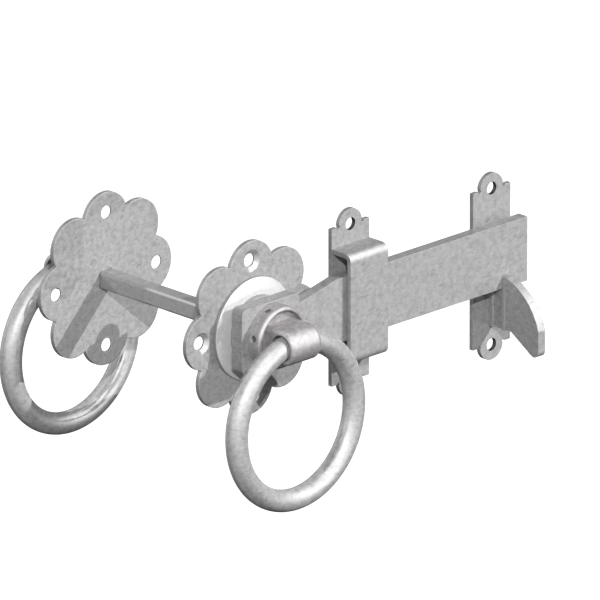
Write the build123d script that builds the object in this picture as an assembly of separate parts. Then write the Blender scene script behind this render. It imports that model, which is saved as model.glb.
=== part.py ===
"""Ring gate latch, near side facing -Y, bar reaching along +X.

Origin: the spindle axis where it meets the near face of the gate.
Heights called "out" are measured from a gate face, away from the gate.
"""
import math
import os

from build123d import *

# Gate and main layout
gate_thickness = 84.0
spindle_to_tip = 153.9
spindle_to_keep = 57.9
catch_to_tip = 12.8
plate_thickness = 2.0
running_clearance = 0.08
seat_clearance = 0.05

# Roses: eight scalloped petals round a centre bore
petal_count = 8
petal_centre_radius = 25.5
petal_radius = 12.5
screw_circle_diameter = 58.5
rose_screw_count = 4
rose_screw_diameter = 5.8
countersink_diameter = 9.6
countersink_depth = 1.5

# Spindle
spindle_side = 7.5
spindle_corner = 0.8

# Stack between a rose and its ring
disc_diameter = 44.4
disc_edge = 1.6
disc_rise = 1.3
spacer_diameter = 30.0
spacer_thickness = 2.4
head_thickness = 6.0
collar_diameter = 27.0
collar_length = 7.3
collar_floor = 1.6
collar_wall = 1.6
collar_lip_radius = 1.4
socket_base_length = 3.2
socket_width = 17.0
socket_radius = 7.75
socket_end_radius = 2.0
socket_drop = 0.7
spindle_seat = 4.2
spindle_seat_gap = 0.4
ring_reach = 14.5

# Rings
ring_rod_diameter = 9.5
ring_mean_radius = 34.2
ring_hole_diameter = 11.2

# Set screws in each collar
screw_diameter = 2.6
screw_angles = (112.0, 172.0)
screw_sink = 0.9
screw_out = 3.3
screw_hex_across = 1.3
screw_hex_depth = 0.9

# Latch bar
bar_height = 28.4
bar_thickness = 5.0
bar_drop = 1.3
bar_back_out = 5.3
bar_taper_end = 42.0
bar_root = 16.0
bar_root_height = 16.6
head_width = 33.4
head_corner = 2.6

# Keep and catch plates
plate_width = 22.0
plate_hole_spacing = 69.2
ear_radius = 6.7
ear_relief = 0.8
plate_hole_diameter = 5.6
keep_drop = 3.3
catch_drop = 8.2

# Keep strap
strap_thickness = 2.0
strap_reach = 11.2
strap_top = 22.7
strap_bottom = -26.0
strap_bend = 3.5

# Catch hook
hook_thickness = 4.0
hook_gap = 0.2
hook_horn_height = 5.3
hook_horn_width = 1.8
hook_reach = 31.6
hook_shoulder_height = -29.5
hook_foot_height = -33.3
hook_foot_reach = 15.5
hook_tip_height = -41.3
hook_tip_radius = 2.8
hook_belly_reach = 23.2
hook_belly_height = -16.0
hook_rib = 0.8
hook_rib_width = 1.5
rest_clearance = 0.05

# Derived sizes
spindle_to_catch = spindle_to_tip - catch_to_tip
bore_radius = math.hypot(spindle_side / 2, spindle_side / 2 - spindle_corner) + running_clearance
disc_top = plate_thickness + disc_edge + disc_rise
spacer_base = disc_top + running_clearance
spacer_top = spacer_base + spacer_thickness
head_top = spacer_top + head_thickness
ring_rod_radius = ring_rod_diameter / 2
ring_hole_radius = ring_hole_diameter / 2
ring_inner_radius = ring_mean_radius - ring_rod_radius
ring_sagitta = ring_inner_radius - math.sqrt(ring_inner_radius ** 2 - (socket_width / 2) ** 2)
ring_slack = ring_hole_radius - ring_rod_radius - ring_sagitta - running_clearance
ring_centre_drop = socket_drop + ring_mean_radius + ring_slack
bar_bottom = -bar_drop - bar_height / 2
bar_front_out = bar_back_out + bar_thickness
cup_radius = collar_diameter / 2 - collar_wall


def flat(profile, out, thickness):
    """Thicken a profile drawn in X and Z, from height out away from the near gate face."""
    return extrude(Plane.XZ.offset(out) * profile, thickness)


def turned(points):
    """Revolve (radius, out) points about the spindle axis on the near side."""
    outline = make_face(Polyline([(r, -out) for r, out in points], close=True))
    return revolve(outline, Axis.Y)


def far_side(shape):
    """Carry a near piece over to the far face of the gate."""
    return Pos(0, gate_thickness, 0) * mirror(shape, about=Plane.XZ)


def square(clearance):
    """Spindle section with its corners cut, grown by a clearance."""
    side = spindle_side + 2 * clearance
    return chamfer(Rectangle(side, side).vertices(), spindle_corner)


def rose():
    """Scalloped rose plate with a plain bore and countersunk screw holes."""
    step = 2 * math.pi / petal_count
    profile = Circle(petal_centre_radius)
    for i in range(petal_count):
        x = petal_centre_radius * math.cos(i * step)
        z = petal_centre_radius * math.sin(i * step)
        profile += Pos(x, z) * Circle(petal_radius)
    profile -= Circle(bore_radius)
    plate = flat(profile, 0, plate_thickness)
    for i in range(rose_screw_count):
        angle = 2 * math.pi * i / rose_screw_count
        x = screw_circle_diameter / 2 * math.cos(angle)
        z = screw_circle_diameter / 2 * math.sin(angle)
        plate -= Pos(x, 0, z) * screw_hole()
    return plate


def screw_hole():
    """Cutter for one countersunk hole, standing on the near gate face."""
    hole = rose_screw_diameter / 2
    mouth = countersink_diameter / 2
    seat = plate_thickness - countersink_depth
    over = plate_thickness + 1
    return turned([(0, -1), (hole, -1), (hole, seat), (mouth, plate_thickness), (mouth, over), (0, over)])


def disc():
    """Domed bearing disc lying on a rose."""
    edge = disc_diameter / 2
    seat = spacer_diameter / 2
    crown = 0.72
    low = plate_thickness + disc_edge
    middle = ((edge + seat) / 2, -(low + crown * disc_rise))
    outline = [
        Line((bore_radius, -plate_thickness), (edge, -plate_thickness)),
        Line((edge, -plate_thickness), (edge, -low)),
        ThreePointArc((edge, -low), middle, (seat, -disc_top)),
        Line((seat, -disc_top), (bore_radius, -disc_top)),
        Line((bore_radius, -disc_top), (bore_radius, -plate_thickness)),
    ]
    return revolve(make_face(outline), Axis.Y)


def spacer():
    """Round spacer that turns with the spindle."""
    return flat(Circle(spacer_diameter / 2) - square(seat_clearance), spacer_base, spacer_thickness)


def collar(base):
    """Cup with a rounded lip, its floor at height base."""
    top = base + collar_length
    cup = flat(Circle(collar_diameter / 2) - square(seat_clearance), base, collar_length)
    cup -= flat(Circle(cup_radius), base + collar_floor, collar_length)
    rims = cup.edges().filter_by(GeomType.CIRCLE).filter_by_position(Axis.Y, -top, -top)
    rims = rims.sort_by(SortBy.RADIUS)
    cup = fillet(rims[-1], min(collar_lip_radius, collar_wall - 0.1))
    for angle in screw_angles:
        cup -= screw_bore(base, angle)
    return cup


def screw_bore(base, angle):
    """Cutter for one radial set screw hole."""
    return radial(base, angle) * Cylinder(screw_diameter / 2 + seat_clearance, collar_diameter)


def radial(base, angle):
    """Frame at the screw height, its z axis pointing outward at the angle."""
    turn = math.radians(angle)
    outward = Vector(math.cos(turn), 0, math.sin(turn))
    origin = Vector(0, -(base + screw_out), 0) + outward * (collar_diameter / 2)
    return Plane(origin=origin, x_dir=(0, 1, 0), z_dir=outward)


def set_screw(base, angle):
    """Headless screw with a hexagon recess, its foot on the spindle."""
    lean = math.radians(abs((angle + 45) % 90 - 45))
    half = spindle_side / 2 + seat_clearance
    foot = (half + screw_diameter / 2 * math.sin(lean)) / math.cos(lean)
    length = collar_diameter / 2 - screw_sink - foot
    body = Cylinder(screw_diameter / 2, length, align=(Align.CENTER, Align.CENTER, Align.MAX))
    recess = extrude(RegularPolygon(screw_hex_across / 2, 6, major_radius=False), -screw_hex_depth)
    return radial(base, angle) * Pos(0, 0, -screw_sink) * (body - recess)


def socket(base):
    """Ring socket: a round base in the collar and a D block bored for the ring."""
    floor = base + collar_floor
    axis_out = base + ring_reach
    block = Pos(0, -(floor + axis_out) / 2, -socket_drop)
    block *= Box(socket_width, axis_out - floor, 2 * socket_radius)
    across = Pos(0, -axis_out, -socket_drop) * Rot(0, 90, 0)
    body = block + across * Cylinder(socket_radius, socket_width)
    ends = body.faces().sort_by(Axis.X)
    rims = [face.edges().sort_by(Axis.Y)[:-1] for face in (ends[0], ends[-1])]
    body = fillet([edge for group in rims for edge in group], socket_end_radius)
    body &= flat(Circle(cup_radius - seat_clearance), floor, ring_reach + socket_radius)
    body += flat(Circle(cup_radius - seat_clearance), floor, socket_base_length)
    body -= across * Cylinder(ring_hole_radius, 2 * socket_width)
    body -= flat(square(seat_clearance), floor, spindle_seat + spindle_seat_gap)
    for angle in screw_angles:
        body -= screw_bore(base, angle)
    return body


def ring(base):
    """Closed ring hanging from the socket."""
    turn = Rot(90, 0, 0) * Torus(ring_mean_radius, ring_rod_radius)
    return Pos(0, -(base + ring_reach), -ring_centre_drop) * turn


def latch_bar():
    """Flat bar, tapered to its root, forged in one with a square-holed head."""
    half = bar_height / 2
    root = bar_root_height / 2
    inside = bar_root - head_corner
    outline = Polyline([
        (inside, root),
        (bar_root, root),
        (bar_taper_end, half),
        (spindle_to_tip, half),
        (spindle_to_tip, -half),
        (bar_taper_end, -half),
        (bar_root, -root),
        (inside, -root),
    ], close=True)
    bar = flat(Pos(0, -bar_drop) * make_face(outline), bar_back_out, bar_thickness)
    bar -= flat(Circle(spacer_diameter / 2 + seat_clearance), 0, spacer_top)
    head = flat(RectangleRounded(head_width, bar_height, head_corner), spacer_top, head_thickness)
    return bar + head - flat(square(seat_clearance), 0, head_top + 1)


def eared_plate(centre_x, drop):
    """Upright plate with a rounded, drilled ear at each end."""
    half = plate_width / 2
    end = plate_hole_spacing / 2
    profile = Rectangle(2 * half, 2 * end)
    for z in (end, -end):
        profile += Pos(0, z) * Circle(ear_radius)
    for z in (end, -end):
        profile -= Pos(0, z) * Circle(plate_hole_diameter / 2)
        for x in (ear_radius + ear_relief / 2, -ear_radius - ear_relief / 2):
            profile -= Pos(x, z) * Circle(ear_relief)
    return flat(Pos(centre_x, -drop) * profile, 0, plate_thickness)


def keep_strap():
    """Bent strap that carries the bar, standing on the keep plate."""
    height = strap_top - strap_bottom
    middle = (strap_top + strap_bottom) / 2
    reach = strap_reach
    outer = Pos(spindle_to_keep, -(plate_thickness + reach / 2), middle) * Box(plate_width, reach, height)
    outer = fillet(front_corners(outer), strap_bend)
    inner = Pos(spindle_to_keep, -(plate_thickness + (reach - strap_thickness) / 2), middle)
    inner *= Box(plate_width + 2, reach - strap_thickness, height - 2 * strap_thickness)
    inner = fillet(front_corners(inner), strap_bend - strap_thickness)
    return outer - inner


def front_corners(block):
    """Long edges of a block on the side away from the gate."""
    return block.edges().filter_by(Axis.X).group_by(Axis.Y)[0]


def catch_hook():
    """Hook standing square to the catch plate, notched for the bar."""
    floor = bar_bottom - rest_clearance
    back = bar_front_out + hook_gap
    tip = floor + hook_horn_height
    foot = hook_reach - hook_tip_radius
    low = hook_tip_height + hook_tip_radius
    belly = (hook_belly_reach, hook_belly_height)
    swing = math.radians(235)
    heel = (foot + hook_tip_radius * math.cos(swing), low + hook_tip_radius * math.sin(swing))
    under = (foot + hook_tip_radius * math.cos(-1.05), low + hook_tip_radius * math.sin(-1.05))
    outline = [
        Line((plate_thickness, floor), (back, floor)),
        Line((back, floor), (back, tip - 0.4)),
        Line((back, tip - 0.4), (back + 0.5, tip)),
        Line((back + 0.5, tip), (back + hook_horn_width, tip)),
        ThreePointArc((back + hook_horn_width, tip), belly, (hook_reach, hook_shoulder_height)),
        Line((hook_reach, hook_shoulder_height), (hook_reach, low)),
        ThreePointArc((hook_reach, low), under, heel),
        Line(heel, (hook_foot_reach, hook_foot_height)),
        Line((hook_foot_reach, hook_foot_height), (plate_thickness, hook_foot_height)),
        Line((plate_thickness, hook_foot_height), (plate_thickness, floor)),
    ]
    side = Plane(origin=(spindle_to_catch - hook_thickness / 2, 0, 0), x_dir=(0, -1, 0), z_dir=(-1, 0, 0))
    hook = extrude(side * make_face(outline), -hook_thickness)
    middle = (floor - hook_gap + hook_foot_height) / 2
    for out in (bar_back_out - hook_rib_width / 2, back + hook_horn_width / 2):
        strip = Pos(out, middle) * Rectangle(hook_rib_width, floor - hook_gap - hook_foot_height)
        hook += extrude(side * strip, hook_rib)
    return hook


def spindle():
    """Square bar through the gate, ending inside each socket."""
    near_end = head_top + collar_floor + spindle_seat
    far_end = spacer_top + collar_floor + spindle_seat
    length = near_end + gate_thickness + far_end
    return Pos(0, gate_thickness + far_end, 0) * flat(square(0), 0, length)


parts = {
    "near_rose": rose(),
    "near_disc": disc(),
    "near_spacer": spacer(),
    "latch_bar": latch_bar(),
    "near_collar": collar(head_top),
    "near_socket": socket(head_top),
    "near_ring": ring(head_top),
    "spindle": spindle(),
    "far_rose": far_side(rose()),
    "far_disc": far_side(disc()),
    "far_spacer": far_side(spacer()),
    "far_collar": far_side(collar(spacer_top)),
    "far_socket": far_side(socket(spacer_top)),
    "far_ring": far_side(ring(spacer_top)),
    "keep_plate": eared_plate(spindle_to_keep, keep_drop),
    "keep_strap": keep_strap(),
    "catch_plate": eared_plate(spindle_to_catch, catch_drop),
    "catch_hook": catch_hook(),
}
for number, screw_angle in enumerate(screw_angles, 1):
    parts[f"near_screw_{number}"] = set_screw(head_top, screw_angle)
    parts[f"far_screw_{number}"] = far_side(set_screw(spacer_top, screw_angle))

os.makedirs("parts", exist_ok=True)
for name, shape in parts.items():
    export_step(shape, f"parts/{name}.step")
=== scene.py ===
"""Ring gate latch: galvanised finish, studio and camera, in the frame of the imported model."""
import math

import bpy
from mathutils import Matrix, Vector


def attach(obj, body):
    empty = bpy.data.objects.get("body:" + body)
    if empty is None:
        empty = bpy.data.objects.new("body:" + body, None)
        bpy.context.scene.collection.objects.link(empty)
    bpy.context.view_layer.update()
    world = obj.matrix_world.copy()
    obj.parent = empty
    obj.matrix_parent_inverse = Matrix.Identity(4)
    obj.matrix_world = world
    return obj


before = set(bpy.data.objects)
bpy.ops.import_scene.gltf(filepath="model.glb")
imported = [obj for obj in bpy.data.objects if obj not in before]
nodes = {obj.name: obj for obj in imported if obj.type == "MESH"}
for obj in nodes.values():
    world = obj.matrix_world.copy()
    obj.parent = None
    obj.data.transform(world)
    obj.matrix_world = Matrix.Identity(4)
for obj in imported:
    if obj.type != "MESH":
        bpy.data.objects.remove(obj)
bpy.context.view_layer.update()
scene = bpy.context.scene


# Shader helpers

def tree_of(owner):
    owner.use_nodes = True
    tree = owner.node_tree
    tree.nodes.clear()
    return tree


def add(tree, kind, **sockets):
    node = tree.nodes.new(kind)
    for name, value in sockets.items():
        node.inputs[name.replace("_", " ")].default_value = value
    return node


def plug(tree, socket, value):
    """Give a socket a number, or link it to another node's output."""
    if isinstance(value, (int, float)):
        socket.default_value = value
    else:
        tree.links.new(value, socket)


def math_node(tree, kind, a, b=0.0):
    node = tree.nodes.new("ShaderNodeMath")
    node.operation = kind
    plug(tree, node.inputs[0], a)
    plug(tree, node.inputs[1], b)
    return node.outputs["Value"]


def noise(tree, place, scale, detail, roughness=0.5):
    node = add(tree, "ShaderNodeTexNoise", Scale=scale, Detail=detail, Roughness=roughness)
    tree.links.new(place, node.inputs["Vector"])
    return node.outputs["Fac"]


def spread(tree, value, low, high, to_low, to_high):
    node = tree.nodes.new("ShaderNodeMapRange")
    node.inputs["From Min"].default_value = low
    node.inputs["From Max"].default_value = high
    node.inputs["To Min"].default_value = to_low
    node.inputs["To Max"].default_value = to_high
    tree.links.new(value, node.inputs["Value"])
    return node.outputs["Result"]


# The zinc's mottle: noise scales per metre, and the heights of its bump
cloud_scale = 430
streak_scale = 1000
dash_scale = 420
streak_stretch = (0.45, 0.45, 1.1)
grain_height = 0.0002
gloss_share = 0.25
bevel_samples = 4


def grey(value):
    return (value, value, value)


def galvanised(name, low, high, sheen, rough, grain, edge_shade=1.0, rim=1.0, bevel=0.0007):
    """Mottled zinc over steel: a soft body from colour `low` to `high`, with a mirror-like sheen.

    `grain` is the strength of the bump and `bevel` the radius that softens the edges.
    Faces turned away from Y, the cut edges of sheet, get painted shade: their colour, and their gloss
    with it, are scaled down towards the given edge factor.
    Round pieces keep only `rim` of their gloss where they turn away.
    """
    material = bpy.data.materials.new(name)
    tree = tree_of(material)
    place = tree.nodes.new("ShaderNodeTexCoord").outputs["Object"]
    stretch = tree.nodes.new("ShaderNodeVectorMath")
    stretch.operation = "MULTIPLY"
    stretch.inputs[1].default_value = streak_stretch
    tree.links.new(place, stretch.inputs[0])
    clouds = noise(tree, place, cloud_scale, 4.0, 0.65)
    streaks = noise(tree, stretch.outputs[0], streak_scale, 3.0, 0.65)
    dashes = noise(tree, stretch.outputs[0], dash_scale, 1.0, 0.4)
    tone = math_node(
        tree,
        "ADD",
        spread(tree, clouds, 0.36, 0.64, 0, 0.6),
        spread(tree, streaks, 0.3, 0.7, 0, 0.4),
    )
    tone = math_node(tree, "SUBTRACT", tone, spread(tree, dashes, 0.20, 0.33, 0.7, 0))
    ramp = tree.nodes.new("ShaderNodeMix")
    ramp.data_type = "RGBA"
    ramp.inputs[6].default_value = (*low, 1)
    ramp.inputs[7].default_value = (*high, 1)
    tree.links.new(tone, ramp.inputs[0])
    relief = math_node(tree, "ADD", math_node(tree, "MULTIPLY", streaks, 0.5), clouds)
    edge = tree.nodes.new("ShaderNodeBevel")
    edge.samples = bevel_samples
    edge.inputs["Radius"].default_value = bevel
    bump = add(tree, "ShaderNodeBump", Strength=grain, Distance=grain_height)
    tree.links.new(relief, bump.inputs["Height"])
    tree.links.new(edge.outputs["Normal"], bump.inputs["Normal"])
    body = tree.nodes.new("ShaderNodeBsdfDiffuse")
    tree.links.new(ramp.outputs[2], body.inputs["Color"])
    tree.links.new(bump.outputs["Normal"], body.inputs["Normal"])
    shine = add(tree, "ShaderNodeBsdfAnisotropic", Color=(0.95, 0.95, 0.95, 1), Roughness=rough)
    gloss = add(tree, "ShaderNodeBump", Strength=grain * gloss_share, Distance=grain_height)
    tree.links.new(clouds, gloss.inputs["Height"])
    tree.links.new(edge.outputs["Normal"], gloss.inputs["Normal"])
    tree.links.new(gloss.outputs["Normal"], shine.inputs["Normal"])
    both = tree.nodes.new("ShaderNodeMixShader")
    # Painted shade: faces turned away from Y get a darker colour and less gloss
    if edge_shade < 1:
        side = tree.nodes.new("ShaderNodeSeparateXYZ")
        normal = tree.nodes.new("ShaderNodeNewGeometry").outputs["True Normal"]
        tree.links.new(normal, side.inputs["Vector"])
        edge_shade_and_gloss = math_node(tree, "ABSOLUTE", side.outputs["Y"])
        edge_shade_and_gloss = spread(tree, edge_shade_and_gloss, 0.2, 0.6, edge_shade, 1.0)
        tree.links.new(math_node(tree, "MULTIPLY", edge_shade_and_gloss, sheen), both.inputs["Fac"])
        shaded_edge_colour = tree.nodes.new("ShaderNodeVectorMath")
        shaded_edge_colour.operation = "SCALE"
        tree.links.new(ramp.outputs[2], shaded_edge_colour.inputs[0])
        tree.links.new(edge_shade_and_gloss, shaded_edge_colour.inputs["Scale"])
        tree.links.new(shaded_edge_colour.outputs[0], body.inputs["Color"])
    elif rim < 1:
        away = add(tree, "ShaderNodeLayerWeight", Blend=0.5)
        gloss_left = spread(tree, away.outputs["Facing"], 0.35, 0.8, 1.0, rim)
        tree.links.new(math_node(tree, "MULTIPLY", gloss_left, sheen), both.inputs["Fac"])
    else:
        both.inputs["Fac"].default_value = sheen
    tree.links.new(body.outputs["BSDF"], both.inputs[1])
    tree.links.new(shine.outputs["BSDF"], both.inputs[2])
    output = tree.nodes.new("ShaderNodeOutputMaterial")
    tree.links.new(both.outputs["Shader"], output.inputs["Surface"])
    return material


# The edge factors below paint shade on the edges of the sheet, the plates and the disc's rim
sheet_zinc = galvanised("sheet_zinc", grey(0.36), grey(0.57), 0.19, 0.04, 0.08, edge_shade=0.72, bevel=0.0003)
plate_zinc = galvanised("plate_zinc", grey(0.345), grey(0.585), 0.21, 0.02, 0.05, edge_shade=0.75)
eared_zinc = galvanised("eared_zinc", grey(0.36), grey(0.57), 0.20, 0.02, 0.05, edge_shade=0.6, bevel=0.0003)
disc_zinc = galvanised("disc_zinc", grey(0.80), grey(0.96), 0.27, 0.06, 0.06, edge_shade=0.35)
spindle_zinc = galvanised("spindle_zinc", grey(0.24), grey(0.36), 0.35, 0.03, 0.03)
cast_zinc = galvanised("cast_zinc", (0.31, 0.29, 0.297), (0.53, 0.507, 0.515), 0.20, 0.12, 0.10, rim=0.3)
ring_zinc = galvanised("ring_zinc", grey(0.36), grey(0.62), 0.19, 0.10, 0.06, rim=0.05)
# Near-black finish painted onto the hole walls as shade
bore_painted_shade = galvanised("bore_painted_shade", grey(0.03), grey(0.07), 0.04, 0.1, 0.06)
screw_steel = galvanised("screw_steel", grey(0.05), grey(0.09), 0.15, 0.3, 0.1)

finish_of = {
    "spindle": spindle_zinc,
    "near_rose": plate_zinc,
    "far_rose": plate_zinc,
    "near_disc": disc_zinc,
    "far_disc": disc_zinc,
    "near_collar": cast_zinc,
    "far_collar": cast_zinc,
    "near_socket": cast_zinc,
    "far_socket": cast_zinc,
    "near_screw_1": screw_steel,
    "near_screw_2": screw_steel,
    "far_screw_1": screw_steel,
    "far_screw_2": screw_steel,
    "near_ring": ring_zinc,
    "far_ring": ring_zinc,
    "keep_plate": eared_zinc,
    "catch_plate": eared_zinc,
}
for name, obj in nodes.items():
    obj.data.materials.clear()
    obj.data.materials.append(finish_of.get(name, sheet_zinc))


# The walls of the screw holes get painted shade, a near-black finish. Sizes in metres from the middle of
# each plate
rose_hole_out = 0.02925
ear_hole_out = 0.0346
hole_reach = 0.0036
wall_slope = 0.3


def paint_shade_on_bores(name, holes):
    """Paint near-black shade on the faces that stand round each hole's axis, along Y."""
    obj = nodes[name]
    obj.data.materials.append(bore_painted_shade)
    corners = [obj.matrix_world @ Vector(corner) for corner in obj.bound_box]
    middle_x = (min(c.x for c in corners) + max(c.x for c in corners)) / 2
    middle_z = (min(c.z for c in corners) + max(c.z for c in corners)) / 2
    for face in obj.data.polygons:
        spot = obj.matrix_world @ face.center
        slope = (obj.matrix_world.to_3x3() @ face.normal).y
        for x, z in holes:
            away = math.hypot(spot.x - middle_x - x, spot.z - middle_z - z)
            if abs(slope) < wall_slope and away < hole_reach:
                face.material_index = 1


rose_holes = ((rose_hole_out, 0), (-rose_hole_out, 0), (0, rose_hole_out), (0, -rose_hole_out))
ear_holes = ((0, ear_hole_out), (0, -ear_hole_out))
for name, holes in (
    ("near_rose", rose_holes),
    ("far_rose", rose_holes),
    ("keep_plate", ear_holes),
    ("catch_plate", ear_holes),
):
    paint_shade_on_bores(name, holes)


# Thin washers that close the round bores about the square spindle
washer_steps = 48
washer_radius = 0.00483
washer_hole_side = 0.00377
washer_hole_radius = 0.00479


def washer(name, front, back):
    """Ring from y = front to y = back whose hole is a square with rounded corners."""
    count = washer_steps
    verts, faces = [], []
    for y in (front, back):
        for ring in range(2):
            for step in range(count):
                angle = 2 * math.pi * (step + 0.5) / count
                side = washer_hole_side / max(abs(math.cos(angle)), abs(math.sin(angle)))
                radius = washer_radius if ring else min(side, washer_hole_radius)
                verts.append((radius * math.cos(angle), y, radius * math.sin(angle)))
    for step in range(count):
        after = (step + 1) % count
        for one, other in ((0, count), (count, 3 * count), (3 * count, 2 * count), (2 * count, 0)):
            faces.append((one + step, other + step, other + after, one + after))
    mesh = bpy.data.meshes.new(name)
    mesh.from_pydata(verts, [], faces)
    mesh.materials.append(plate_zinc)
    obj = bpy.data.objects.new(name, mesh)
    scene.collection.objects.link(obj)
    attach(obj, "turning")


washer("near_washer", -0.0018, -0.0002)
washer("far_washer", 0.0842, 0.0858)


# Studio

def sun(name, direction, strength, spread_deg):
    """Lamp for the body tone and the shadows. Gloss doesn't see it, but only the world's soft boxes."""
    data = bpy.data.lights.new(name, "SUN")
    data.energy = strength
    data.angle = math.radians(spread_deg)
    lamp = bpy.data.objects.new(name, data)
    scene.collection.objects.link(lamp)
    lamp.rotation_mode = "QUATERNION"
    lamp.rotation_quaternion = Vector(direction).to_track_quat("Z", "Y")
    lamp.visible_glossy = False


def lobe(tree, place, direction, sharpness, strength):
    """Soft round patch of light in the world, centred on a direction."""
    node = tree.nodes.new("ShaderNodeVectorMath")
    node.operation = "DOT_PRODUCT"
    tree.links.new(place, node.inputs[0])
    node.inputs[1].default_value = Vector(direction).normalized()
    facing = math_node(tree, "MAXIMUM", node.outputs["Value"], 0.0)
    return math_node(tree, "MULTIPLY", math_node(tree, "POWER", facing, sharpness), strength)


# Name, direction to the lamp, strength, width in degrees
suns = (
    ("key", (0.484, -0.718, 0.500), 2.4, 0.3),
    ("fill", (-0.58, -0.64, 0.505), 1.75, 0.3),
    ("top", (0.59, -0.39, 0.71), 0.25, 0.5),
    ("behind", (-0.15, 0.97, 0.12), 1.0, 12.0),
)
for lamp_values in suns:
    sun(*lamp_values)

# Direction and strength of the lights that gloss sees
softboxes = (
    ((0.00, 1.00, 0.10), 1.6),
    ((0.70, 0.70, -0.10), 0.3),
    ((0.66, -0.45, 0.60), 1.3),
    ((-0.66, 0.67, -0.33), 0.38),
    ((-0.81, -0.53, 0.26), 1.83),
    ((0.00, -0.50, 0.87), 1.73),
    ((0.00, 1.00, 0.00), 1.56),
    ((0.58, -0.64, 0.50), 1.55),
    ((-0.55, -0.44, 0.71), 1.53),
    ((-0.31, -0.91, 0.26), 1.47),
    ((0.00, -0.87, 0.50), 1.46),
    ((0.31, -0.91, 0.26), 1.28),
    ((-0.78, -0.39, 0.50), 1.07),
    ((-0.96, 0.08, 0.26), 0.99),
    ((-0.58, -0.64, 0.50), 0.99),
    ((0.59, -0.81, 0.00), 0.82),
    ((-0.25, -0.08, 0.97), 0.78),
    ((-0.31, -0.91, -0.26), 0.70),
    ((-1.00, 0.00, 0.00), 0.69),
    ((0.00, -0.26, 0.97), 0.65),
    ((0.69, -0.16, 0.71), 0.63),
    ((-0.71, 0.65, 0.26), 0.62),
    ((0.46, 0.85, 0.26), 0.59),
    ((-0.81, -0.53, -0.26), 0.58),
    ((-0.16, 0.85, 0.50), 0.57),
    ((0.59, -0.76, 0.26), 0.55),
    ((-0.88, 0.39, 0.26), 0.55),
    ((-0.48, 0.15, 0.87), 0.55),
    ((-0.96, 0.08, -0.26), 0.54),
    ((-0.69, 0.16, -0.71), 0.52),
    ((-0.31, 0.64, 0.71), 0.51),
    ((-0.59, -0.81, 0.00), 0.49),
    ((-0.31, -0.81, 0.50), 0.48),
    ((0.31, -0.95, 0.00), 0.46),
    ((0.00, 0.50, 0.87), 0.45),
    ((-0.78, -0.39, -0.50), 0.41),
    ((-0.15, 0.21, -0.97), 0.36),
    ((-0.69, 0.52, 0.50), 0.34),
    ((-0.58, -0.64, -0.50), 0.33),
    ((0.00, -0.87, -0.50), 0.32),
    ((-0.94, -0.24, 0.26), 0.31),
    ((-0.55, 0.44, 0.71), 0.29),
    ((-0.29, -0.40, -0.87), 0.26),
)
softbox_sharpness = 14
gloss_base = 0.03
second_gloss = 0.3
ambient_direction = (-0.96, -0.2, 0.12)
ambient_sharpness = 8
ambient_strength = 0.4
ambient_base = 0.05

world = bpy.data.worlds.new("studio")
scene.world = world
tree = tree_of(world)
path = tree.nodes.new("ShaderNodeLightPath")
place = tree.nodes.new("ShaderNodeTexCoord").outputs["Generated"]
ambient = lobe(tree, place, ambient_direction, ambient_sharpness, ambient_strength)
ambient = math_node(tree, "ADD", ambient, ambient_base)
glossy = gloss_base
for direction, strength in softboxes:
    glossy = math_node(tree, "ADD", lobe(tree, place, direction, softbox_sharpness, strength), glossy)
bounce = spread(tree, path.outputs["Glossy Depth"], 1, 2, 1.0, second_gloss)
glossy = math_node(tree, "MULTIPLY", glossy, bounce)
direct = tree.nodes.new("ShaderNodeMix")
tree.links.new(path.outputs["Is Glossy Ray"], direct.inputs[0])
tree.links.new(ambient, direct.inputs[2])
tree.links.new(glossy, direct.inputs[3])
seen = math_node(tree, "MAXIMUM", path.outputs["Is Camera Ray"], path.outputs["Is Transmission Ray"])
final = tree.nodes.new("ShaderNodeMix")
tree.links.new(seen, final.inputs[0])
tree.links.new(direct.outputs[0], final.inputs[2])
final.inputs[3].default_value = 1.0
background = add(tree, "ShaderNodeBackground", Color=(1, 1, 1, 1))
tree.links.new(final.outputs[0], background.inputs["Strength"])
output = tree.nodes.new("ShaderNodeOutputWorld")
tree.links.new(background.outputs["Background"], output.inputs["Surface"])


# Plain white floor: no light from it, the object's shadow on it, clear from below
floor_reach = 8
floor_drop = 0.5
paper_colour = 0.8
paper_glow = 0.55

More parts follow.
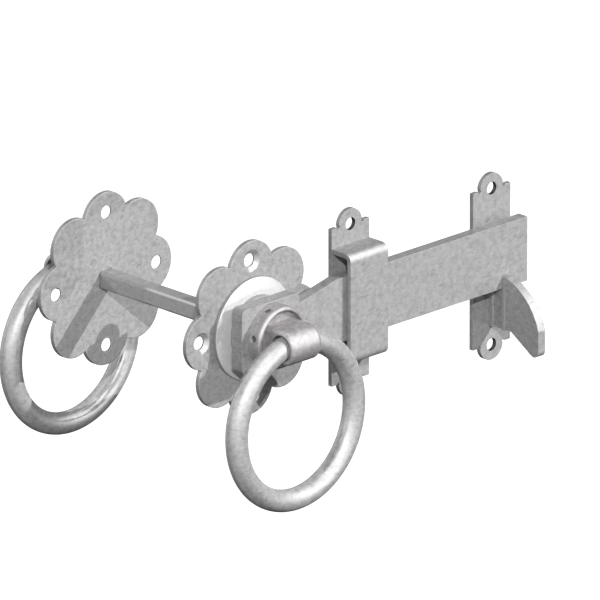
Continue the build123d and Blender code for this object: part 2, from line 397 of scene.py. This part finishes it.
floor_corners = [(x * floor_reach, y * floor_reach, 0) for x, y in ((-1, -1), (1, -1), (1, 1), (-1, 1))]
floor_mesh = bpy.data.meshes.new("floor")
floor_mesh.from_pydata(floor_corners, [], [(0, 1, 2, 3)])
floor = bpy.data.objects.new("floor", floor_mesh)
scene.collection.objects.link(floor)
floor.location = (0, 0, -floor_drop)
floor.visible_glossy = False
floor.visible_diffuse = False
paper = bpy.data.materials.new("paper")
tree = tree_of(paper)
card = add(tree, "ShaderNodeBsdfDiffuse", Color=(*grey(paper_colour), 1))
glow = add(tree, "ShaderNodeEmission", Color=(1, 1, 1, 1))
camera_ray = tree.nodes.new("ShaderNodeLightPath").outputs["Is Camera Ray"]
tree.links.new(math_node(tree, "MULTIPLY", camera_ray, paper_glow), glow.inputs["Strength"])
lit = tree.nodes.new("ShaderNodeAddShader")
tree.links.new(card.outputs["BSDF"], lit.inputs[0])
tree.links.new(glow.outputs["Emission"], lit.inputs[1])
sides = tree.nodes.new("ShaderNodeMixShader")
below = tree.nodes.new("ShaderNodeNewGeometry").outputs["Backfacing"]
clear = tree.nodes.new("ShaderNodeBsdfTransparent")
output = tree.nodes.new("ShaderNodeOutputMaterial")
tree.links.new(below, sides.inputs["Fac"])
tree.links.new(lit.outputs["Shader"], sides.inputs[1])
tree.links.new(clear.outputs["BSDF"], sides.inputs[2])
tree.links.new(sides.outputs["Shader"], output.inputs["Surface"])
floor_mesh.materials.append(paper)

scene.view_settings.view_transform = "Standard"


# Camera: the photograph's angle, from far off with a long lens
azimuth = math.radians(-44.8)
elevation = math.radians(19.5)
distance = 11.8
sensor_width = 36
far_clip = 60
image_width = 600
metres_per_pixel = 1 / 2400
image_middle = image_width / 2
rose_pixel = (251.7, 327.4)
rose_centre = Vector((0, -0.002, 0))
rose_to_middle = 0.07

right = Vector((math.cos(azimuth), math.sin(azimuth), 0))
up = Vector((
    -math.sin(elevation) * math.sin(azimuth),
    math.sin(elevation) * math.cos(azimuth),
    math.cos(elevation),
))
back = right.cross(up)
aim = rose_centre + right * (image_middle - rose_pixel[0]) * metres_per_pixel
aim += up * (rose_pixel[1] - image_middle) * metres_per_pixel
aim -= back * rose_to_middle
camera_data = bpy.data.cameras.new("camera")
camera_data.sensor_width = sensor_width
camera_data.lens = sensor_width * distance / (image_width * metres_per_pixel)
camera_data.clip_end = far_clip
camera = bpy.data.objects.new("camera", camera_data)
scene.collection.objects.link(camera)
turn = Matrix((right, up, back)).transposed().to_4x4()
camera.matrix_world = Matrix.Translation(aim + back * distance) @ turn
scene.camera = camera
